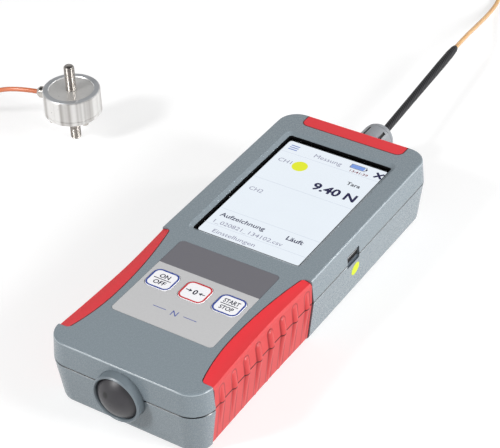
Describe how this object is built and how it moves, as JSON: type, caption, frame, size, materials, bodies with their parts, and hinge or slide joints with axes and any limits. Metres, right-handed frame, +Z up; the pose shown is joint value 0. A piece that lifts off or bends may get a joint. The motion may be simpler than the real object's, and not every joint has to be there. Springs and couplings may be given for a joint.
{
  "type": "force gauge",
  "caption": "Handheld digital force gauge with a touch display, rubber side grips and an external button load cell on a thin coiled cable",
  "frame": {"origin": "centre of the rear face that the gauge lies on", "axes": "X to the right across the display, Y along the gauge towards its cable end, Z up out of the display"},
  "size_m": [0.2931, 0.3835, 0.039],
  "materials": {
    "housing_plastic": "fine moulded texture",
    "red_rubber": "soft satin elastomer",
    "black_rubber": "matt",
    "display_glass": "clear with a black printed border",
    "dark_plastic": "matt",
    "keypad_film": "printed film with a dark grey header",
    "key_plastic": "light grey with printed outlines",
    "board_laminate": "green solder mask",
    "zinc_steel": "zinc plated",
    "tinned_sheet": "tinned sheet",
    "battery_wrap": "shrink wrap",
    "insert_brass": "turned",
    "connector_grey": "satin grey",
    "cable_jacket": "translucent amber jacket",
    "polished_steel": "turned and polished stainless steel"
  },
  "bodies": {
    "gauge": {"upper_shell": "housing_plastic", "lower_shell": "housing_plastic", "grip_right_upper": "red_rubber", "grip_right_lower": "red_rubber", "grip_left_upper": "red_rubber", "grip_left_lower": "red_rubber", "rear_bumper": "red_rubber", "display_gasket": "black_rubber", "touch_glass": "display_glass", "lcd_module": "dark_plastic", "keypad_overlay": "keypad_film", "key_switches": "dark_plastic", "main_board": "board_laminate", "board_screws": "zinc_steel", "buzzer": "dark_plastic", "amplifier_shield": "tinned_sheet", "data_port": "tinned_sheet", "battery_pack": "battery_wrap", "case_screws": "zinc_steel", "stand_inserts": "insert_brass", "front_collar": "housing_plastic", "blanking_plug": "dark_plastic", "sensor_socket": "connector_grey", "socket_nut": "zinc_steel", "plug_body": "connector_grey", "cable_sleeve": "black_rubber", "cable_from_gauge": "cable_jacket", "cable_coil": "cable_jacket", "coil_tie": "black_rubber", "cable_from_cell": "cable_jacket", "cell_body": "polished_steel", "cell_top_stud": "polished_steel", "cell_base_stud": "polished_steel", "cell_base_plate": "polished_steel", "cell_screws": "polished_steel", "cell_gland": "connector_grey", "cell_gauge_ring": "board_laminate"},
    "key_on_off": {"key_on_off": "key_plastic"},
    "key_zero": {"key_zero": "key_plastic"},
    "key_start_stop": {"key_start_stop": "key_plastic"},
    "coupling_ring": {"coupling_ring": "connector_grey"}
  },
  "joints": [
    {"name": "key_on_off_press", "type": "slide", "parent": "gauge", "child": "key_on_off", "axis": [0, 0, -1], "range_m": [0, 0.0003], "stiffness_N_per_m": 3000},
    {"name": "key_zero_press", "type": "slide", "parent": "gauge", "child": "key_zero", "axis": [0, 0, -1], "range_m": [0, 0.0003], "stiffness_N_per_m": 3000},
    {"name": "key_start_stop_press", "type": "slide", "parent": "gauge", "child": "key_start_stop", "axis": [0, 0, -1], "range_m": [0, 0.0003], "stiffness_N_per_m": 3000},
    {"name": "coupling_ring_turn", "type": "hinge", "parent": "gauge", "child": "coupling_ring", "pos_m": [0, 0.0986, 0.0165], "axis": [0, 1, 0], "range_deg": [0, 90]}
  ]
}
